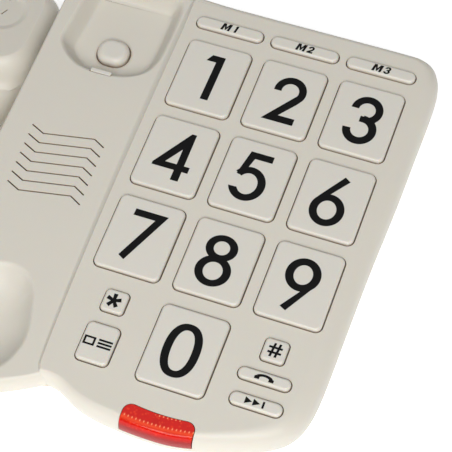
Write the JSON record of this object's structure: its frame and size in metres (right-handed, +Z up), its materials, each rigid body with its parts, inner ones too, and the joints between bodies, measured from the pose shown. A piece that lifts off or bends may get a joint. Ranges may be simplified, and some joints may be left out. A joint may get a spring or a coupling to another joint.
{
  "type": "big-button desk telephone with handset",
  "caption": "Big-button desk telephone base with raised keypad, handset cradle and red call lamp, with its handset lying beside it.",
  "frame": {"origin": "on the table, under the middle of the rectangle that the base and the handset cover", "axes": "+X to the telephone's right, +Y to its rear, +Z up"},
  "size_m": [0.2404, 0.2224, 0.0528],
  "materials": {
    "ivory_shell_plastic": "fine satin texture",
    "ivory_key_plastic": "satin",
    "red_lens_plastic": "clear red, polished",
    "green_board": "solder mask",
    "grey_rubber": "matte",
    "black_plastic": "satin",
    "steel": "plated",
    "jack_plastic": "moulded"
  },
  "bodies": {
    "base": {"base_top_shell": "ivory_shell_plastic", "base_bottom_shell": "ivory_shell_plastic", "lamp_lens": "red_lens_plastic", "lamp_led": "red_lens_plastic", "main_circuit_board": "green_board", "lamp_board": "green_board", "rubber_keypad_mat": "grey_rubber", "foot_rear_left": "grey_rubber", "foot_rear_right": "grey_rubber", "foot_front_left": "grey_rubber", "foot_front_right": "grey_rubber", "hook_switch": "black_plastic", "ringer_speaker": "black_plastic", "ringer_volume_switch": "steel", "tone_pulse_switch": "steel", "case_screw_1": "steel", "case_screw_2": "steel", "case_screw_3": "steel", "case_screw_4": "steel", "line_jack": "jack_plastic", "base_handset_jack": "jack_plastic"},
    "handset": {"handset_face_shell": "ivory_shell_plastic", "handset_back_shell": "ivory_shell_plastic", "handset_jack": "jack_plastic", "handset_screw_1": "steel", "handset_screw_2": "steel", "handset_weight": "steel", "earpiece_capsule": "black_plastic", "microphone_capsule": "black_plastic"},
    "key_1": {"key_1": "ivory_key_plastic"},
    "key_2": {"key_2": "ivory_key_plastic"},
    "key_3": {"key_3": "ivory_key_plastic"},
    "key_4": {"key_4": "ivory_key_plastic"},
    "key_5": {"key_5": "ivory_key_plastic"},
    "key_6": {"key_6": "ivory_key_plastic"},
    "key_7": {"key_7": "ivory_key_plastic"},
    "key_8": {"key_8": "ivory_key_plastic"},
    "key_9": {"key_9": "ivory_key_plastic"},
    "key_0": {"key_0": "ivory_key_plastic"},
    "key_star": {"key_star": "ivory_key_plastic"},
    "key_hash": {"key_hash": "ivory_key_plastic"},
    "key_memory": {"key_memory": "ivory_key_plastic"},
    "key_flash": {"key_flash": "ivory_key_plastic"},
    "key_redial": {"key_redial": "ivory_key_plastic"},
    "key_m1": {"key_m1": "ivory_key_plastic"},
    "key_m2": {"key_m2": "ivory_key_plastic"},
    "key_m3": {"key_m3": "ivory_key_plastic"},
    "hook_plunger": {"hook_plunger": "ivory_key_plastic"},
    "handset_hanger_tab": {"handset_hanger_tab": "ivory_key_plastic"},
    "ringer_volume_knob": {"ringer_volume_knob": "black_plastic"},
    "tone_pulse_knob": {"tone_pulse_knob": "black_plastic"}
  },
  "joints": [
    {"name": "key_1_press", "type": "slide", "parent": "base", "child": "key_1", "axis": [0, 0.1219, -0.9925], "range_m": [0, 0.0016], "stiffness_N_per_m": 400, "springref_m": -0.001},
    {"name": "key_2_press", "type": "slide", "parent": "base", "child": "key_2", "axis": [0, 0.1219, -0.9925], "range_m": [0, 0.0016], "stiffness_N_per_m": 400, "springref_m": -0.001},
    {"name": "key_3_press", "type": "slide", "parent": "base", "child": "key_3", "axis": [0, 0.1219, -0.9925], "range_m": [0, 0.0016], "stiffness_N_per_m": 400, "springref_m": -0.001},
    {"name": "key_4_press", "type": "slide", "parent": "base", "child": "key_4", "axis": [0, 0.1219, -0.9925], "range_m": [0, 0.0016], "stiffness_N_per_m": 400, "springref_m": -0.001},
    {"name": "key_5_press", "type": "slide", "parent": "base", "child": "key_5", "axis": [0, 0.1219, -0.9925], "range_m": [0, 0.0016], "stiffness_N_per_m": 400, "springref_m": -0.001},
    {"name": "key_6_press", "type": "slide", "parent": "base", "child": "key_6", "axis": [0, 0.1219, -0.9925], "range_m": [0, 0.0016], "stiffness_N_per_m": 400, "springref_m": -0.001},
    {"name": "key_7_press", "type": "slide", "parent": "base", "child": "key_7", "axis": [0, 0.1219, -0.9925], "range_m": [0, 0.0016], "stiffness_N_per_m": 400, "springref_m": -0.001},
    {"name": "key_8_press", "type": "slide", "parent": "base", "child": "key_8", "axis": [0, 0.1219, -0.9925], "range_m": [0, 0.0016], "stiffness_N_per_m": 400, "springref_m": -0.001},
    {"name": "key_9_press", "type": "slide", "parent": "base", "child": "key_9", "axis": [0, 0.1219, -0.9925], "range_m": [0, 0.0016], "stiffness_N_per_m": 400, "springref_m": -0.001},
    {"name": "key_0_press", "type": "slide", "parent": "base", "child": "key_0", "axis": [0, 0.1219, -0.9925], "range_m": [0, 0.0016], "stiffness_N_per_m": 400, "springref_m": -0.001},
    {"name": "key_star_press", "type": "slide", "parent": "base", "child": "key_star", "axis": [0, 0.1219, -0.9925], "range_m": [0, 0.0016], "stiffness_N_per_m": 400, "springref_m": -0.001},
    {"name": "key_hash_press", "type": "slide", "parent": "base", "child": "key_hash", "axis": [0, 0.1219, -0.9925], "range_m": [0, 0.0016], "stiffness_N_per_m": 400, "springref_m": -0.001},
    {"name": "key_memory_press", "type": "slide", "parent": "base", "child": "key_memory", "axis": [0, 0.1219, -0.9925], "range_m": [0, 0.0016], "stiffness_N_per_m": 400, "springref_m": -0.001},
    {"name": "key_flash_press", "type": "slide", "parent": "base", "child": "key_flash", "axis": [0, 0.1219, -0.9925], "range_m": [0, 0.0016], "stiffness_N_per_m": 400, "springref_m": -0.001},
    {"name": "key_redial_press", "type": "slide", "parent": "base", "child": "key_redial", "axis": [0, 0.1219, -0.9925], "range_m": [0, 0.0016], "stiffness_N_per_m": 400, "springref_m": -0.001},
    {"name": "key_m1_press", "type": "slide", "parent": "base", "child": "key_m1", "axis": [0, 0.1219, -0.9925], "range_m": [0, 0.0016], "stiffness_N_per_m": 400, "springref_m": -0.001},
    {"name": "key_m2_press", "type": "slide", "parent": "base", "child": "key_m2", "axis": [0, 0.1219, -0.9925], "range_m": [0, 0.0016], "stiffness_N_per_m": 400, "springref_m": -0.001},
    {"name": "key_m3_press", "type": "slide", "parent": "base", "child": "key_m3", "axis": [0, 0.1219, -0.9925], "range_m": [0, 0.0016], "stiffness_N_per_m": 400, "springref_m": -0.001},
    {"name": "hook_plunger_press", "type": "slide", "parent": "base", "child": "hook_plunger", "axis": [0, 0.1219, -0.9925], "range_m": [0, 0.0035], "stiffness_N_per_m": 150, "springref_m": -0.003},
    {"name": "hanger_tab_pull", "type": "slide", "parent": "base", "child": "handset_hanger_tab", "axis": [0, -0.1219, 0.9925], "range_m": [0, 0.012]},
    {"name": "ringer_volume_slide", "type": "slide", "parent": "base", "child": "ringer_volume_knob", "axis": [1, 0, 0], "range_m": [-0.003, 0.003]},
    {"name": "tone_pulse_slide", "type": "slide", "parent": "base", "child": "tone_pulse_knob", "axis": [1, 0, 0], "range_m": [-0.003, 0.003]},
    {"name": "handset_lift", "type": "slide", "parent": "base", "child": "handset", "axis": [0, 0, 1], "range_m": [0, 0.12]}
  ]
}
